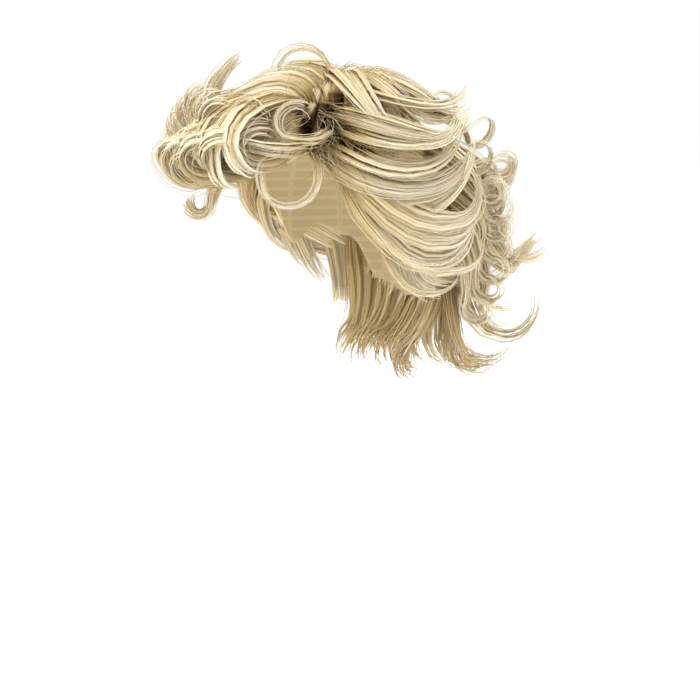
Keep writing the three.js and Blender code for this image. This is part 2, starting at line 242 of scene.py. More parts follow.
# the hair
# pad: middle and half spread in degrees, thickness, and the way its close hair lies.
# Each weft is a row of locks: number, step of turn and drop, width, root, mid and end stations
# (turn, drop, millimetres off the head), then the curl's run, bend off the head and sweep sideways.
# The rest is how it is combed: combing says what each word means, and what it is where a weft has none.
crownHair = dict(pad=dict(turn=180, drop=4, wide=46, deep=46, thick=22, lie="star"), wefts=[
    dict(locks=2, step=(32, 0), width=40, root=(228, 8, 22), mid=(230, 28, 32), end=(234, 48, 44),
         curl=(40, 55, 20)),
    dict(locks=1, width=38, root=(50, 39, 6), mid=(33, 33, 28), end=(8, 42, 36), curl=(44, 50, -20)),
    dict(locks=1, width=34, root=(55, 36, 8), mid=(31, 25, 27), end=(-11, 36, 34), curl=(44, 45, -15)),
    dict(locks=1, width=40, root=(60, 33, 10), mid=(28, 18, 26), end=(-30, 31, 32), curl=(44, 40, -10)),
    dict(locks=1, width=34, root=(64, 29, 12), mid=(36, 9, 26), end=(-66, 32, 34), curl=(42, 45, 0)),
    dict(locks=1, width=40, root=(68, 26, 15), mid=(66, 0, 26), end=(80, -34, 36), curl=(40, 50, 20)),
    dict(locks=1, width=34, root=(73, 16, 20), mid=(95, 40, 34), end=(113, 50, 50), curl=(46, 30, 70)),
    dict(locks=4, step=(38, 0), width=40, root=(76, 8, 22), mid=(78, 28, 30), end=(84, 46, 37),
         curl=(42, 40, 60)),
    dict(locks=1, width=8, roll=90, root=(62, 14), mid=(60, 14, 14), end=(59, 14, 26),
         curl=(84, 205, 0), messy=0.4, tipLoss=0.5, stout=1.3),
    dict(locks=1, width=13, root=(118, 32), mid=(133, 48, 34), end=(146, 60, 38), curl=(86, 330, 12)),
    dict(locks=1, width=13, root=(108, 22), mid=(120, 33, 25), end=(131, 46, 28), curl=(68, 320, 10)),
    dict(locks=1, width=12, root=(116, 24), mid=(130, 36, 31), end=(138, 44, 38), curl=(40, 95, 0)),
])
frontHair = dict(pad=dict(turn=2, drop=43, wide=40, deep=17, thick=18, lie=0), wefts=[
    dict(locks=4, step=(-15, 0), width=42, root=(26, 53), mid=(16, 62, 10), end=(6, 69, 25),
         curl=(78, 200, -15), fan=0.8, deep=0.5, messy=0.5, tipLoss=0.85, wrap=1.4, stout=1.6),
    dict(locks=1, width=32, root=(40, 51), mid=(33, 57, 8), end=(26, 61, 15),
         curl=(64, 215, 0), fan=0.5, tighten=0.3, deep=0.5, messy=0.7, tipLoss=0.85, stout=1.5),
    dict(locks=4, step=(-15, 1), width=36, root=(24, 43), mid=(18, 50, 18), end=(12, 56, 30),
         curl=(58, 165, 0), fan=0.7, tighten=0.25, deep=0.5, messy=0.6, fill=2, tipLoss=0.85, stout=1.3),
    dict(locks=3, step=(-11, 0), width=38, root=(35, 37, 24), mid=(28, 55, 48), end=(25, 70, 35),
         curl=(28, -75, 0), fan=0.6, deep=0.3, messy=0.8, tipLoss=0.85, stout=1.2, fill=0),
    dict(locks=1, width=46, root=(-6, 46), mid=(-16, 49, 34), end=(-20, 41, 52),
         curl=(34, 15, -30), fan=0.5, deep=0.4, messy=0.6, tipLoss=0.6, stout=1.4),
    dict(locks=1, width=28, roll=18, root=(50, 46), mid=(50, 60, 27), end=(28, 60, 34),
         curl=(64, 231, 5), fan=0.5, tighten=0.2, deep=0.5, messy=0.7, tipLoss=0.8, stout=1.7),
    dict(locks=1, width=24, roll=33, root=(58, 41), mid=(58, 56, 25), end=(47, 59, 33),
         curl=(54, 201, 2), fan=0.4, tighten=0.2, deep=0.5, messy=0.7, tipLoss=0.8, stout=1.7),
    dict(locks=2, step=(-13, 0), width=20, root=(-20, 53), mid=(-24, 70, 10), end=(-28, 81, 12),
         curl=(34, 130, -10), fan=0.45, tighten=0.6, deep=0.8, messy=1.6, shade=-0.3, tipLoss=0.6,
         stout=1.7, fill=3),
    dict(locks=1, width=8, root=(46, 50), mid=(55, 60, 16), end=(58, 71, 20),
         curl=(105, 30, -265), sparse=True),
], frizz=dict(turn=(8, 54), drop=(40, 60), out=(22, 38), strands=130, length=(18, 44), curve=200, lie=-60))
leftHair = dict(pad=dict(turn=98, drop=63, wide=44, deep=35, thick=15, lie=62), wefts=[
    dict(locks=2, step=(8, -8), width=34, root=(57, 32), mid=(79, 56, 34), end=(97, 66, 50),
         curl=(46, 30, 70)),
    dict(locks=1, width=30, root=(59, 41), mid=(78, 65, 28), end=(97, 70, 46), curl=(50, 22, 58)),
    dict(locks=2, step=(6, 8), width=30, root=(58, 50), mid=(77, 73, 24), end=(97, 74, 44),
         curl=(58, 15, 45)),
    dict(locks=2, step=(6, -8), width=36, root=(70, 62), mid=(83, 90, 28), end=(104, 97, 44),
         curl=(46, 25, 80)),
    dict(locks=3, step=(11, 4), width=32, root=(80, 70), mid=(84, 88, 14), end=(90, 100, 22),
         curl=(40, 40, 40)),
    dict(locks=3, step=(0, 19), width=36, root=(116, 47), mid=(121, 63, 34), end=(124, 77, 43),
         curl=(56, 235, 0), tighten=0.3, fill=2, tipLoss=0.85, stout=1.4),
    dict(locks=3, step=(4, 11), width=20, root=(106, 44), mid=(116, 57, 28), end=(122, 67, 36),
         curl=(62, 290, 15), tighten=0.2, tipLoss=0.8, stout=1.5),
    dict(locks=1, width=10, root=(78, 72), mid=(86, 97, 36), end=(112, 101, 50), curl=(38, 20, 80)),
    dict(locks=1, width=9, root=(84, 84), mid=(88, 105, 30), end=(104, 109, 42), curl=(30, 10, 60)),
], frizz=dict(turn=(54, 84), drop=(36, 66), out=(17, 28), strands=190, length=(24, 60), curve=130, lie=50))
rightHair = dict(pad=dict(turn=-98, drop=63, wide=44, deep=35, thick=15, lie=-62), wefts=[
    dict(locks=3, step=(-16, 0), width=36, root=(-56, 34), mid=(-76, 52, 36), end=(-96, 60, 50),
         curl=(45, 50, -50)),
    dict(locks=3, step=(-11, 4), width=36, root=(-60, 54), mid=(-76, 82, 28), end=(-98, 94, 46),
         curl=(50, 40, -60)),
    dict(locks=2, step=(-18, 6), width=36, root=(-76, 68), mid=(-82, 87, 14), end=(-88, 99, 22),
         curl=(40, 40, -40)),
    dict(locks=3, step=(0, 19), width=36, root=(-116, 47), mid=(-121, 63, 34), end=(-124, 77, 43),
         curl=(56, 235, 0), tighten=0.3, tipLoss=0.85, stout=1.4),
])
backHair = dict(pad=dict(turn=180, drop=72, wide=60, deep=38, thick=22, lie=0), wefts=[
    dict(locks=4, step=(25, 0), width=40, root=(143, 46), mid=(143, 62, 34), end=(143, 76, 43),
         curl=(56, 240, 0), tighten=0.3, fill=2, tipLoss=0.85, stout=1.4),
    dict(locks=4, step=(25, 0), width=40, root=(143, 66), mid=(143, 82, 40), end=(143, 95, 54),
         curl=(55, 140, 0), tipLoss=0.65, stout=1.25),
    dict(locks=4, step=(25, 0), width=38, root=(143, 86), mid=(143, 101, 32), end=(143, 111, 50),
         curl=(50, 110, 0), tipLoss=0.65, stout=1.25),
    dict(locks=1, width=30, root=(132, 80), mid=(131, 98, 42), end=(138, 102, 60),
         curl=(44, 115, 0), fan=0.3, deep=0.95, messy=0.5, tipLoss=0.75, stout=1.7),
    dict(locks=1, width=36, root=(148, 92), mid=(136, 117, 38), end=(139, 120, 80),
         curl=(52, 95, 0), fan=0.3, deep=0.95, messy=0.5, tipLoss=0.75, stout=1.7),
])
# painted shade: the nape's two long rows darken towards their tips, as the neck and the hair above would
# shade them
napeHair = dict(pad=dict(turn=180, drop=108, wide=62, deep=18, thick=10, lie=0), wefts=[
    dict(locks=5, step=(23, 0), width=32, root=(134, 101), mid=(134, 120, 32), end=(134, 132, 54),
         curl=(50, 115, 0), messy=1.6, fill=2, shade=-0.7),
    dict(locks=5, step=(24, 0), width=38, root=(132, 101), mid=(131, 126, 14), end=(130, 143, 18),
         curl=(40, 105, 0), messy=1.6, fill=2, shade=-0.7),
    dict(locks=1, width=8, root=(132, 101), mid=(129, 132, 16), end=(132, 149, 26), curl=(26, 60, 0)),
])

# how a lock's width runs from its root to its tip, and the steps that its line is drawn in
lockShape = dict(flat=0.4, root=0.5, swell=2.4, taper=0.55, full=1.12, rootHeight=2.0, aloneWidth=22,
                 between=0.85, stationSteps=6, curlTurn=24, curlSteps=6, fine=8)
combing = dict(
    roll=0,  # turn of the lock about its own line
    sparse=False,  # thin wisps only
    fan=0.3,  # least share of its width that a lock keeps at its tip
    tighten=0.15,  # how much tighter some of its wisps curl
    deep=lockShape["flat"],  # thickness for its width
    messy=1.0,  # under 1 it holds together, over 1 it waves more
    shade=0.0,  # under 0 it is darker towards its tip, over 0 paler; at the nape it is painted shade
    tipLoss=0.8,  # share of its size that a wisp loses at its tip
    wrap=1.0,  # wisps take this much of the curl's run and bend
    stout=1.0,  # size of its wisps
    fill=1,  # narrower locks between two neighbours
)
# how far the locks of a row stray from its even steps
straying = dict(turn=3, drop=2.5, out=4, run=0.12, bend=0.15, sweep=10)
# where the roots are dark: along the parting, and where the side hair is combed back from it
darkRoots = [dict(start=(52, 46), finish=(68, 33), out=13.0, near=7.0, far=20.0, steps=12),
             dict(start=(66, 51), finish=(77, 60), out=20.0, near=7.0, far=18.0, steps=12)]


# A steady share from -1 to 1 for each lock, so that no two are alike.
def stray(index, channel):
    x = math.sin(12.9898 * (index + 1) + 78.233 * channel) * 43758.5453
    return 2 * (x - math.floor(x)) - 1


def locksOf(section):
    locks = []
    for weft in section["wefts"]:
        loose = 1 if weft["locks"] > 1 else 0
        step = weft.get("step", (0, 0))
        for i in range(weft["locks"]):
            index = len(locks)
            stations = []
            for station, channel in ((weft["root"], 0), (weft["mid"], 3), (weft["end"], 6)):
                turn = station[0] + step[0] * i + straying["turn"] * loose * stray(index, channel)
                drop = station[1] + step[1] * i + straying["drop"] * loose * stray(index, channel + 1)
                out = capSettings["wall"] + lockShape["rootHeight"]
                if len(station) == 3:
                    out = station[2] + straying["out"] * loose * stray(index, channel + 2)
                stations.append(Vector((turn, drop, out)))
            run, bend, sweep = weft["curl"]
            locks.append(dict(
                {key: weft.get(key, usual) for key, usual in combing.items()},
                width=weft["width"], alone=weft["width"] < lockShape["aloneWidth"], stations=stations,
                run=run * (1 + straying["run"] * loose * stray(index, 9)),
                bend=bend * (1 + straying["bend"] * loose * stray(index, 10)),
                sweep=sweep + straying["sweep"] * loose * stray(index, 11)))
    between = []  # narrower locks fill in between two neighbours
    first = 0
    for weft in section["wefts"]:
        fill = locks[first]["fill"]
        for a, b in zip(locks[first:first + weft["locks"]], locks[first + 1:first + weft["locks"]]):
            for mix in [(k + 1) / (fill + 1) for k in range(fill)]:
                filler = dict(a, stations=[s.lerp(t, mix) for s, t in zip(a["stations"], b["stations"])])
                for key in ("run", "bend", "sweep"):
                    filler[key] = a[key] + (b[key] - a[key]) * mix
                between.append(dict(filler, width=lockShape["between"] * a["width"]))
        first += weft["locks"]
    return locks + between


# The line of a lock: smoothly through its stations, then round its curl. Each place has its share
# of the length, its point, the way off the head and the way to the side.
def lockLine(lock):
    root, mid, end = lock["stations"]

    def at(u):
        return overHead(*(root * (1 - u) * (1 - 2 * u) + mid * 4 * u * (1 - u) + end * u * (2 * u - 1)))

    fine = lockShape["fine"]
    curlSteps = round((abs(lock["bend"]) + abs(lock["sweep"])) / lockShape["curlTurn"])
    curlSteps = max(lockShape["curlSteps"], curlSteps)
    along = (at(0.02) - at(0)).normalized()
    down, off = axesAt(root[0], root[1])
    lift = along.dot(off) ** 6  # near 1 where the lock stands straight up
    out = off * (1 - lift) - down * lift
    out = (out - along * out.dot(along)).normalized()
    out = Matrix.Rotation(math.radians(lock["roll"]), 3, along) @ out
    point, reach, places = at(0), 0.0, []
    for i in range(lockShape["stationSteps"] * fine + 1):
        u = i / (lockShape["stationSteps"] * fine)
        along = (at(u + 0.01) - at(u - 0.01)).normalized()
        reach += (at(u) - point).length
        point = at(u)
        out = (out - along * out.dot(along)).normalized()
        places.append((reach, point, out, out.cross(along)))
    for i in range(curlSteps * fine):
        turn = Matrix.Rotation(-math.radians(lock["bend"]) / (curlSteps * fine), 3, out.cross(along))
        along, out = turn @ along, turn @ out
        along = Matrix.Rotation(math.radians(lock["sweep"]) / (curlSteps * fine), 3, out) @ along
        reach += mm * lock["run"] / (curlSteps * fine)
        point = point + along * mm * lock["run"] / (curlSteps * fine)
        out = (out - along * out.dot(along)).normalized()
        places.append((reach, point, out, out.cross(along)))
    return [(r / reach, p, o, s) for r, p, o, s in places]


def placeAt(places, share):
    i = min(max(1, bisect.bisect_left(places, share, key=lambda place: place[0])), len(places) - 1)
    a, b = places[i - 1], places[i]
    mix = min(1.0, max(0.0, (share - a[0]) / max(1e-9, b[0] - a[0])))
    return [a[k].lerp(b[k], mix) for k in (1, 2, 3)]


def lockShare(u):
    full = lockShape["full"] * min(1, lockShape["root"] + lockShape["swell"] * u)
    return full * max(0.0, 1 - u) ** lockShape["taper"]


# How near a point is to the parting: 1 on it, 0 away from it.
def partingAt(point):
    most = 0.0
    for zone in darkRoots:
        for i in range(zone["steps"] + 1):
            turn, drop = (a + (b - a) * i / zone["steps"] for a, b in zip(zone["start"], zone["finish"]))
            away = (overHead(turn, drop, zone["out"]) - point).length
            most = max(most, 1 - blendStep(away, zone["near"] * mm, zone["far"] * mm))
    return most


# Guides are gathered as one mesh of lines, with what each strand needs kept on its points.
class Guides:
    def __init__(self):
        self.points, self.edges, self.faces = [], [], []
        self.kept = {name: [] for name in ("side", "off", "wide", "thick", "along", "grade", "tone",
                                           "strands", "girth", "cored", "guide")}

    def add(self, point, **values):
        self.points.append(point)
        for name, store in self.kept.items():
            store.append(values.get(name, Vector() if name in ("side", "off") else 0))

    def line(self, rows, girth=1.0, **shared):
        first = len(self.points)
        for row in rows:
            self.add(**row, **shared, girth=girth, guide=1)
        self.edges += [(i, i + 1) for i in range(first, len(self.points) - 1)]


# kinds of wisp: strands in each, half size as a share of the lock's, flatness, spread across and over it,
# how much their curls differ, and the shortest as a share of the longest
wispKinds = dict(
    broad=dict(strands=3, size=1.7, flat=0.22, across=0.7, over=0.5, vary=0.7, shortest=0.9, cored=1),
    thin=dict(strands=5, size=0.17, flat=0.7, across=0.9, over=1.0, vary=1.5, shortest=0.8, cored=0),
    loose=dict(strands=6, size=0.5, flat=0.4, across=0.7, over=0.8, vary=1.5, shortest=0.8, cored=0),
    stray=dict(strands=1, size=0.0, flat=1.0, across=1.25, over=1.4, vary=1.5, shortest=0.8, cored=0),
)
# number of wisps, how far they differ from each other, their waves, and how they grow from root to tip
comb = dict(
    broadWidth=3.7, thin=3, ringThin=8, loose=2, stray=2, aloneVary=0.2, least=0.3, tones=(0.0, 0.6),
    aside=0.4, bend=0.1, run=(-0.14, 0.04), sweep=10, stout=(0.75, 1.25), shade=(-0.10, 0.05),
    wave=2.2, waveWidth=30, waveSize=(0.3, 1.0), waveFrom=0.1, waveFull=0.7, waveSide=5.5, waveOff=7,
    offShare=0.6, rootSize=0.3, rootLength=0.2, fineTip=2.2, bluntTip=5,
    rootGrade=0.3, darkFrom=0.4, darkLength=0.5,
)


# A lock is combed into broad wisps side by side, thin ones over them, loose strands between them and
# a few that stray. Each has its own length, wave and curl.
def combLock(guides, lock, rng):
    half = mm * lock["width"] / 2
    broad = 0 if lock["sparse"] else max(2, round(lock["width"] / comb["broadWidth"]))
    shade = lock["shade"] + rng.uniform(*comb["shade"])
    holds = lock["messy"] < 1
    fewer = 1 if holds else 0
    thin = comb["ringThin"] if lock["sparse"] else comb["thin"] - fewer
    kinds = ["broad"] * broad + ["thin"] * thin + ["stray"] * comb["stray"]
    kinds += [] if lock["alone"] else ["loose"] * (comb["loose"] - fewer)
    for i, kind in enumerate(kinds):
        shape = wispKinds[kind]
        across = shape["across"] * rng.uniform(-1, 1)
        if kind == "broad":
            across = (i + 0.5) / broad * 2 - 1 + rng.uniform(-comb["aside"], comb["aside"]) / broad
            across = shape["across"] * across
        over = shape["over"] * rng.uniform(-1, 1) * math.sqrt(max(0.1, 1 - across * across))
        vary = lock["messy"] * (comb["aloneVary"] if lock["alone"] else shape["vary"])
        bend = lock["bend"] * lock["wrap"] * (1 + vary * rng.uniform(-comb["bend"], comb["bend"]))
        places = lockLine(dict(
            lock, run=lock["run"] * lock["wrap"] * (1 + vary * rng.uniform(*comb["run"])),
            bend=bend * (1 + lock["tighten"] * rng.random()),
            sweep=lock["sweep"] + vary * rng.uniform(-comb["sweep"], comb["sweep"])))
        steps = (len(places) - 1) // lockShape["fine"]
        dark = partingAt(places[0][1]) > comb["darkFrom"]
        finish = rng.uniform(shape["shortest"], 1.0)
        phases = [rng.uniform(0, math.tau) for _ in range(2)]
        stout = lock["stout"] * rng.uniform(*comb["stout"])
        wave = mm * comb["wave"] * lock["messy"] * min(1, lock["width"] / comb["waveWidth"])
        wave *= rng.uniform(*comb["waveSize"])
        line = []
        for k in range(steps + 1):
            u = k / steps
            share = places[k * lockShape["fine"]][0] * finish
            point, out, side = placeAt(places, share)
            body = half * max(lockShare(share), lock["fan"])
            swing = wave * blendStep(u, comb["waveFrom"], comb["waveFull"])
            off = comb["offShare"] * swing * math.sin(phases[1] + comb["waveOff"] * u)
            shift = side * (body * across + swing * math.sin(phases[0] + comb["waveSide"] * u))
            shift += out * (body * lock["deep"] * over + off)
            thinned = 1 - lock["tipLoss"] * u ** (comb["bluntTip"] if holds else comb["fineTip"])
            size = stout * body * thinned * shape["size"] / (broad if kind == "broad" else 1)
            size *= comb["rootSize"] + (1 - comb["rootSize"]) * blendStep(u, 0.0, comb["rootLength"])
            flat = shape["flat"] * lock["deep"] / (lockShape["flat"] * lock["stout"])
            grade = comb["rootGrade"] + (1 - comb["rootGrade"]) * blendStep(share, -0.06, 0.9)
            if dark:
                grade = blendStep(share, 0.0, comb["darkLength"])
            grade = min(grade, 1 - partingAt(point + shift))
            line.append(dict(point=point + shift, side=side, off=out, along=u,
                             wide=max(size, comb["least"] * mm), thick=max(flat * size, comb["least"] * mm),
                             grade=min(1.0, max(0.0, grade + shade * u))))
        guides.line(line, tone=rng.uniform(*comb["tones"]), strands=shape["strands"],
                    cored=0 if lock["sparse"] else shape["cored"])


# The turn and drop of a place on a pad: across and below are shares of its half spread.
def padSpot(pad, across, below):
    turned = Matrix.Rotation(math.radians(pad["turn"]), 3, "Z")
    turned = turned @ Matrix.Rotation(math.radians(pad["drop"]), 3, "X")
    wide, deep = math.radians(pad["wide"]) * across, math.radians(pad["deep"]) * below
    far = math.hypot(wide, deep)
    spread = math.sin(far) / far if far > 0 else 0
    way = turned @ Vector((wide * spread, -deep * spread, math.cos(far)))
    return math.degrees(math.atan2(way.x, -way.y)), math.degrees(math.acos(max(-1, min(1, way.z))))


# close hair: shares are of the pad's half spread or thickness, lengths in millimetres
closeHair = dict(
    sides=40, rings=9, seat=0.6, shell=0.88, shellGrade=0.62, guides=60, strands=5, samples=40, points=8,
    fewest=12, starFrom=0.06, starLength=0.9, breadth=0.95, length=0.98, ragged=0.45, past=6, lies=0.85,
    lift=1.2, height=0.93, wide=(0.6, 4.4), thick=(0.3, 0.9), grade=(0.5, 0.3),
)


# A shell under the close hair, and guides combed over it the way it lies.
def combPad(guides, pad, rng):
    sides, rings = closeHair["sides"], closeHair["rings"]
    star = pad["lie"] == "star"
    lie = 0 if star else math.radians(pad["lie"])
    way = (math.sin(lie), math.cos(lie))
    first = len(guides.points)
    for top in (1, 0):
        for r in range(rings + (1 if top else 0)):
            for s in range(sides if r else 1):
                angle, reach = math.tau * s / sides, r / rings
                height = closeHair["seat"]
                if top:
                    height += closeHair["shell"] * pad["thick"] * (1 - reach ** 4)
                across, below = reach * math.cos(angle), reach * math.sin(angle)
                turn, drop = padSpot(pad, across, below)
                point = overHead(turn, min(drop, edgeDrop(turn) - 1), capSettings["wall"] + height)
                lane = angle / math.tau if star else 0.5 + 0.5 * (across * way[1] - below * way[0])
                guides.add(point, grade=closeHair["shellGrade"] * (1 - partingAt(point)) + 0.02, tone=lane)
    under = first + 1 + rings * sides
    for s in range(sides):
        after = (s + 1) % sides
        guides.faces.append((first, first + 1 + s, first + 1 + after))
        guides.faces.append((under, under + 1 + after, under + 1 + s))
        for r in range(rings - 1):
            a, b = first + 1 + r * sides, first + 1 + (r + 1) * sides
            guides.faces.append((a + s, b + s, b + after, a + after))
            c = under + 1 + r * sides
            d = under + 1 + (r + 1) * sides if r < rings - 2 else first + 1 + (rings - 1) * sides
            guides.faces.append((c + s, c + after, d + after, d + s))
    last, end = closeHair["samples"] - 1, closeHair["points"] - 1
    breadth, length, lies = closeHair["breadth"], closeHair["length"], closeHair["lies"]
    for i in range(closeHair["guides"]):
        lane = (i + rng.uniform(0.2, 0.8)) / closeHair["guides"]
        ragged, overhang = rng.uniform(0.0, closeHair["ragged"]), rng.uniform(-1, 2) * closeHair["past"]
        if star:  # out from the middle
            way = (math.cos(math.tau * lane), math.sin(math.tau * lane))
            track = [(closeHair["starFrom"] + (closeHair["starLength"] + ragged) * t / last, 0)
                     for t in range(last + 1)]
        else:  # side by side
            aside = 2 * breadth * lane - breadth
            chord = math.sqrt(1 - aside * aside)
            track = [((2 * length * chord + ragged) * t / last - length * chord, aside)
                     for t in range(last + 1)]
        spots = []
        for ahead, aside in track:
            across, below = way[0] * ahead + way[1] * aside, way[1] * ahead - way[0] * aside
            reach = math.hypot(across, below)
            turn, drop = padSpot(pad, across, below)
            if ahead < 0:  # from the roots, which stay on the cap
                height, past = 1 - min(1, reach) ** 4, 0
            else:  # to the ends, which lie on the next hair or hang past the cap's edge
                height, past = 1 - min(lies, reach) ** 4 + 0.5 * max(0, reach - lies), overhang
            if drop < edgeDrop(turn) + past:
                out = capSettings["wall"] + closeHair["lift"] + closeHair["height"] * pad["thick"] * height
                spots.append((overHead(turn, drop, out), axesAt(turn, max(drop, 0.6))[1]))
            elif spots:
                break
        if len(spots) < closeHair["fewest"]:
            continue
        spots = [spots[round(k * (len(spots) - 1) / end)] for k in range(end + 1)]
        line = []
        for k, (point, off) in enumerate(spots):
            along = (spots[min(k + 1, end)][0] - spots[max(k - 1, 0)][0]).normalized()
            size = 1 - (2 * k / end - 1) ** (4 if k < end / 2 else 2)
            wide, thick = (least + more * size for least, more in (closeHair["wide"], closeHair["thick"]))
            grade = closeHair["grade"][0] + closeHair["grade"][1] * k / end
            line.append(dict(point=point, off=off, side=off.cross(along), along=k / end,
                             wide=wide * mm, thick=thick * mm, grade=grade * (1 - partingAt(point))))
        guides.line(line, tone=rng.uniform(*comb["tones"]), strands=closeHair["strands"], cored=1)


# frizz: steps along a strand, how it lies, crimps and lifts, its colour and its size
looseStrand = dict(steps=12, aside=40, crimp=(3, 12), crimpStep=1.3, lift=(-0.06, 0.08), grade=(0.1, 0.85),
                   half=0.4, girth=0.6)


# Short strands that have come loose and cross each other, pale and dark, over a part of the head.
def combFrizz(guides, zone, rng):
    steps, half = looseStrand["steps"], looseStrand["half"] * mm
    for _ in range(zone["strands"]):
        turn, drop = rng.uniform(*zone["turn"]), rng.uniform(*zone["drop"])
        down, off = axesAt(turn, drop)
        lie = zone["lie"] + rng.uniform(-looseStrand["aside"], looseStrand["aside"])
        along = Matrix.Rotation(math.radians(lie), 3, off) @ down
        point = overHead(turn, drop, rng.uniform(*zone["out"]))
        stride = mm * rng.uniform(*zone["length"]) / steps
        bend = math.radians(rng.uniform(-1, 1) * zone["curve"]) / steps
        crimp, phase = math.radians(rng.uniform(*looseStrand["crimp"])), rng.uniform(0, math.tau)
        lift, grade = rng.uniform(*looseStrand["lift"]), rng.uniform(*looseStrand["grade"])
        line = []
        for k in range(steps + 1):
            line.append(dict(point=point, side=off.cross(along), off=off, wide=half, thick=half,
                             along=k / steps, grade=grade))
            turned = Matrix.Rotation(bend + crimp * math.cos(phase + looseStrand["crimpStep"] * k), 3, off)
            along = (turned @ along + lift * off).normalized()
            point = point + stride * along
        guides.line(line, tone=rng.uniform(*comb["tones"]), strands=1, cored=0, girth=looseStrand["girth"])


strandSizes = {"Strand Width": 0.45 * mm, "Tip Share": 0.35, "Frizz": 3.0 * mm, "Frizz Size": 22 * mm,
               "Core Share": 0.82, "Shortest": 0.84, "Tone Spread": 0.4}
# sides of strands and cores, how far out in a wisp strands lie, and where they begin to taper
strandForm = dict(sides=3, coreSides=6, reach=(0.7, 1.12), taperFrom=0.55, apart=0.5, laneStep=0.07)


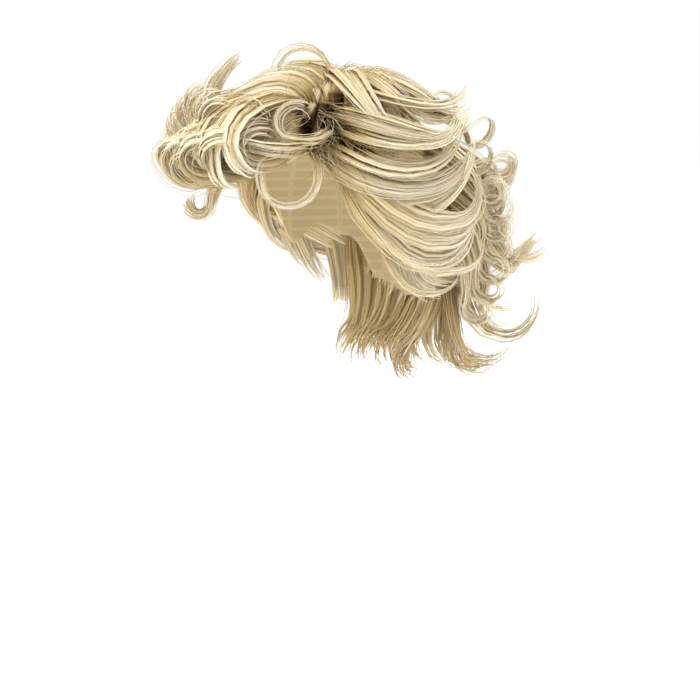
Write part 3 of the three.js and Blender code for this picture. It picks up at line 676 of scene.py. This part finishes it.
# Grows strands round every guide line, and a soft core in every wisp, and lays out colour by strand.
def hairTree(sizes):
    tree = bpy.data.node_groups.new("combed hair", "GeometryNodeTree")
    tree.interface.new_socket("Geometry", in_out="INPUT", socket_type="NodeSocketGeometry")
    for name in sizes:
        tree.interface.new_socket(name, in_out="INPUT", socket_type="NodeSocketFloat")
    tree.interface.new_socket("Seed", in_out="INPUT", socket_type="NodeSocketInt")
    tree.interface.new_socket("Fibre", in_out="INPUT", socket_type="NodeSocketMaterial")
    tree.interface.new_socket("Geometry", in_out="OUTPUT", socket_type="NodeSocketGeometry")
    given = addNode(tree, "NodeGroupInput").outputs
    kinds = dict(side="FLOAT_VECTOR", off="FLOAT_VECTOR", wide="FLOAT", thick="FLOAT", along="FLOAT",
                 grade="FLOAT", tone="FLOAT", strands="INT", girth="FLOAT", cored="FLOAT", guide="FLOAT",
                 place="FLOAT_VECTOR", centre="FLOAT_VECTOR", ring="INT")
    read = {name: addNode(tree, "GeometryNodeInputNamedAttribute", {0: name}, data_type=kind).outputs[0]
            for name, kind in kinds.items()}
    index = addNode(tree, "GeometryNodeInputIndex").outputs[0]
    position = addNode(tree, "GeometryNodeInputPosition").outputs[0]
    isGuide = addNode(tree, "FunctionNodeCompare", {0: read["guide"], 1: 0.5}, operation="GREATER_THAN")
    split = addNode(tree, "GeometryNodeSeparateGeometry", {0: given["Geometry"], 1: isGuide.outputs[0]},
                    domain="POINT")
    lines = addNode(tree, "GeometryNodeMeshToCurve", {0: split.outputs[0]}).outputs[0]

    # the moves to the side and off the head that lead to a place round the wisp's line
    def roundWisp(angle, reach):
        moves = []
        for axis, size, wave in (("side", "wide", "COSINE"), ("off", "thick", "SINE")):
            amount = addNode(tree, "ShaderNodeMath", {0: angle}, operation=wave).outputs[0]
            for share in (reach, read[size]):
                amount = addNode(tree, "ShaderNodeMath", {0: amount, 1: share},
                                 operation="MULTIPLY").outputs[0]
            moves.append(addNode(tree, "ShaderNodeVectorMath", {0: read[axis], "Scale": amount},
                                 operation="SCALE").outputs[0])
        return moves

    # strands: each guide many times over, moved to a place of its own within the wisp
    many = addNode(tree, "GeometryNodeDuplicateElements", {0: lines, 2: read["strands"]},
                   domain="SPLINE").outputs[0]
    dice = addNode(tree, "FunctionNodeRandomValue", {7: index, 8: given["Seed"]},
                   data_type="FLOAT_VECTOR").outputs[0]
    many = addNode(tree, "GeometryNodeStoreNamedAttribute", {0: many, 2: "place", 3: dice},
                   data_type="FLOAT_VECTOR", domain="CURVE").outputs[0]
    place = addNode(tree, "ShaderNodeSeparateXYZ", {0: read["place"]}).outputs
    angle = addNode(tree, "ShaderNodeMath", {0: place[0], 1: math.tau}, operation="MULTIPLY").outputs[0]
    near, far = strandForm["reach"]
    reach = addNode(tree, "ShaderNodeMapRange", {0: place[1], 3: near, 4: far}).outputs[0]
    moves = roundWisp(angle, reach)
    moved = addNode(tree, "ShaderNodeVectorMath", {0: moves[0], 1: moves[1]}, operation="ADD").outputs[0]
    detail = addNode(tree, "ShaderNodeMath", {0: 1.0, 1: given["Frizz Size"]},
                     operation="DIVIDE").outputs[0]
    apart = addNode(tree, "ShaderNodeVectorMath", {0: read["place"], "Scale": strandForm["apart"]},
                    operation="SCALE").outputs[0]
    spot = addNode(tree, "ShaderNodeVectorMath", {0: position, 1: apart}, operation="ADD").outputs[0]
    noise = addNode(tree, "ShaderNodeTexNoise", {"Vector": spot, "Scale": detail, "Detail": 1.0}).outputs[1]
    centred = addNode(tree, "ShaderNodeVectorMath", {0: noise, 1: (0.5, 0.5, 0.5)},
                      operation="SUBTRACT").outputs[0]
    loose = addNode(tree, "ShaderNodeMath", {0: read["along"], 1: given["Frizz"]},
                    operation="MULTIPLY").outputs[0]
    frizz = addNode(tree, "ShaderNodeVectorMath", {0: centred, "Scale": loose},
                    operation="SCALE").outputs[0]
    moved = addNode(tree, "ShaderNodeVectorMath", {0: moved, 1: frizz}, operation="ADD").outputs[0]
    many = addNode(tree, "GeometryNodeSetPosition", {0: many, 3: moved}).outputs[0]
    varied = addNode(tree, "ShaderNodeMath", {0: place[2], 1: given["Tone Spread"]},
                     operation="MULTIPLY").outputs[0]
    toned = addNode(tree, "ShaderNodeMath", {0: read["tone"], 1: varied}, operation="ADD").outputs[0]
    many = addNode(tree, "GeometryNodeStoreNamedAttribute", {0: many, 2: "tone", 3: toned},
                   domain="POINT").outputs[0]
    finish = addNode(tree, "ShaderNodeMapRange", {0: place[1], 3: given["Shortest"], 4: 1.0}).outputs[0]
    many = addNode(tree, "GeometryNodeTrimCurve", {0: many, 3: finish}, mode="FACTOR").outputs[0]
    factor = addNode(tree, "GeometryNodeSplineParameter").outputs[0]
    taper = addNode(tree, "ShaderNodeMapRange", {0: factor, 1: strandForm["taperFrom"], 2: 1.0,
                                                 3: 1.0, 4: given["Tip Share"]}).outputs[0]
    radius = given["Strand Width"]
    for share in (0.5, taper, read["girth"]):
        radius = addNode(tree, "ShaderNodeMath", {0: radius, 1: share}, operation="MULTIPLY").outputs[0]
    ring = addNode(tree, "GeometryNodeCurvePrimitiveCircle",
                   {"Resolution": strandForm["sides"], "Radius": 1.0}).outputs[0]
    strands = addNode(tree, "GeometryNodeCurveToMesh", {0: many, 1: ring, 2: radius, 3: True}).outputs[0]

    # cores: a flat tube down the middle of each wisp
    hasCore = addNode(tree, "FunctionNodeCompare", {0: read["cored"], 1: 0.5},
                      operation="GREATER_THAN").outputs[0]
    cored = addNode(tree, "GeometryNodeSeparateGeometry", {0: lines, 1: hasCore},
                    domain="CURVE").outputs[0]
    cored = addNode(tree, "GeometryNodeStoreNamedAttribute", {0: cored, 2: "centre", 3: position},
                    data_type="FLOAT_VECTOR", domain="POINT").outputs[0]
    sides = strandForm["coreSides"]
    ring = addNode(tree, "GeometryNodeCurvePrimitiveCircle",
                   {"Resolution": sides, "Radius": 1.0}).outputs[0]
    ring = addNode(tree, "GeometryNodeStoreNamedAttribute", {0: ring, 2: "ring", 3: index},
                   data_type="INT", domain="POINT").outputs[0]
    cores = addNode(tree, "GeometryNodeCurveToMesh", {0: cored, 1: ring, 2: 0.001, 3: True}).outputs[0]
    angle = addNode(tree, "ShaderNodeMath", {0: read["ring"], 1: math.tau / sides},
                    operation="MULTIPLY").outputs[0]
    spots = read["centre"]
    for step in roundWisp(angle, given["Core Share"]):
        spots = addNode(tree, "ShaderNodeVectorMath", {0: spots, 1: step}, operation="ADD").outputs[0]
    cores = addNode(tree, "GeometryNodeSetPosition", {0: cores, 2: spots}).outputs[0]
    # the streaks run round the tube and back, so that they meet at its seam
    lane = addNode(tree, "ShaderNodeMath", {0: read["ring"], 1: sides / 2},
                   operation="SUBTRACT").outputs[0]
    lane = addNode(tree, "ShaderNodeMath", {0: lane}, operation="ABSOLUTE").outputs[0]
    toned = addNode(tree, "ShaderNodeMath", {0: lane, 1: strandForm["laneStep"], 2: read["tone"]},
                    operation="MULTIPLY_ADD").outputs[0]
    cores = addNode(tree, "GeometryNodeStoreNamedAttribute", {0: cores, 2: "tone", 3: toned}).outputs[0]

    joined = addNode(tree, "GeometryNodeJoinGeometry")
    for part in (strands, cores, split.outputs[1]):
        tree.links.new(part, joined.inputs[0])
    colours = addNode(tree, "ShaderNodeCombineXYZ", {0: read["tone"], 1: read["grade"]}).outputs[0]
    laid = addNode(tree, "GeometryNodeStoreNamedAttribute", {0: joined.outputs[0], 2: "OFBake", 3: colours},
                   data_type="FLOAT2", domain="CORNER").outputs[0]
    laid = addNode(tree, "GeometryNodeSetShadeSmooth", {0: laid}).outputs[0]
    laid = addNode(tree, "GeometryNodeRealizeInstances", {0: laid}).outputs[0]
    laid = addNode(tree, "GeometryNodeSetMaterial", {0: laid, 2: given["Fibre"]}).outputs[0]
    addNode(tree, "NodeGroupOutput", {0: laid})
    return tree


combed = hairTree(strandSizes)


def growHair(name, section, seed):
    rng = random.Random(seed)
    guides = Guides()
    combPad(guides, section["pad"], rng)
    for lock in locksOf(section):
        combLock(guides, lock, rng)
    if "frizz" in section:
        combFrizz(guides, section["frizz"], rng)
    mesh = bpy.data.meshes.new(name + "Guides")
    mesh.from_pydata(guides.points, guides.edges, guides.faces)
    for key, values in guides.kept.items():
        if key in ("side", "off"):
            layer = mesh.attributes.new(key, "FLOAT_VECTOR", "POINT")
            layer.data.foreach_set("vector", [c for value in values for c in value])
        else:
            layer = mesh.attributes.new(key, "INT" if key == "strands" else "FLOAT", "POINT")
            layer.data.foreach_set("value", values)
    piece = addObject(name, mesh)
    grow = piece.modifiers.new("combed hair", "NODES")
    grow.node_group = combed
    for socket in combed.interface.items_tree:
        if socket.in_out == "INPUT" and socket.name != "Geometry":
            grow[socket.identifier] = dict(strandSizes, Seed=seed, Fibre=fibre)[socket.name]
    ready = piece.evaluated_get(bpy.context.evaluated_depsgraph_get())
    grown = bpy.data.meshes.new_from_object(ready)
    piece.modifiers.remove(grow)
    piece.data = grown
    bpy.data.meshes.remove(mesh)
    for key in list(guides.kept) + ["place", "centre", "ring"]:
        if key in grown.attributes:
            grown.attributes.remove(grown.attributes[key])
    return piece


hairPieces = [("crownHair", crownHair, "crown"), ("frontHair", frontHair, "front_roll"),
              ("leftHair", leftHair, "left_side"), ("rightHair", rightHair, "right_side"),
              ("backHair", backHair, "back"), ("napeHair", napeHair, "nape")]
for seed, (name, section, node) in enumerate(hairPieces, 1):
    piece = growHair(name, section, seed)
    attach(piece, "root")
    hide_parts(node)
    print(name, sum(len(p.vertices) - 2 for p in piece.data.polygons), "triangles")


# the studio
studio = dict(azimuth=58, pitch=11, focal=1000, scale=1180, seen=(333, 222), picture=700, sensor=36,
              floorLevel=-0.47, floorHalf=25, floorColour="#FFFFFF", floorRoughness=0.9, sky=1.0)


# The camera stands where the photo was taken from: so many pixels to the metre at the head's middle,
# which is seen at that pixel of a picture of 700 by 700.
def setCamera(settings):
    azimuth, pitch = math.radians(settings["azimuth"]), math.radians(settings["pitch"])
    back = Vector((math.sin(azimuth) * math.cos(pitch), -math.cos(azimuth) * math.cos(pitch),
                   math.sin(pitch)))
    right = Vector((math.cos(azimuth), math.sin(azimuth), 0))
    up = back.cross(right)
    depth = settings["focal"] / settings["scale"]
    aim = Vector((0, 0, -head["crownHeight"] * mm))
    half = settings["picture"] / 2
    aim -= right * (settings["seen"][0] - half) / settings["scale"]
    aim -= up * (half - settings["seen"][1]) / settings["scale"]
    data = bpy.data.cameras.new("camera")
    data.sensor_width = settings["sensor"]
    data.lens = settings["sensor"] * settings["focal"] / settings["picture"]
    camera = addObject("camera", data)
    turned = Matrix((right, up, back)).transposed().to_4x4()
    camera.matrix_world = Matrix.Translation(aim + back * depth) @ turned
    bpy.context.scene.camera = camera
    return right, up, back


right, up, back = setCamera(studio)

floorMesh = bpy.data.meshes.new("floor")
half, level = studio["floorHalf"], studio["floorLevel"]
corners = [(-half, -half, level), (half, -half, level), (half, half, level), (-half, half, level)]
floorMesh.from_pydata(corners, [], [(0, 1, 2, 3)])
floor = addObject("floor", floorMesh)
# matt white, so that the floor all but runs into the white background
paint, _, shader = newMaterial("matt floor paint")
shader.inputs["Base Color"].default_value = toLinear(studio["floorColour"])
shader.inputs["Roughness"].default_value = studio["floorRoughness"]
floorMesh.materials.append(paint)

# a broad key from the camera's left and above, and another as broad from behind on the right
lamps = dict(
    key=dict(right=-0.9, up=1.0, back=0.9, distance=1.6, size=1.2, power=17),
    rim=dict(right=1.0, up=0.9, back=-0.7, distance=1.8, size=1.2, power=16),
)
middle = Vector((0, 0, -0.1))
for name, settings in lamps.items():
    way = settings["right"] * right + settings["up"] * up + settings["back"] * back
    data = bpy.data.lights.new(name, "AREA")
    data.size, data.energy = settings["size"], settings["power"]
    lamp = addObject(name, data)
    lamp.location = middle + way.normalized() * settings["distance"]
    lamp.rotation_euler = way.to_track_quat("Z", "Y").to_euler()

world = bpy.data.worlds.new("white studio")
world.use_nodes = True
sky = world.node_tree.nodes["Background"]
sky.inputs["Color"].default_value = (1, 1, 1, 1)
sky.inputs["Strength"].default_value = studio["sky"]
bpy.context.scene.world = world
bpy.context.scene.view_settings.view_transform = "Standard"
print("studio ready")
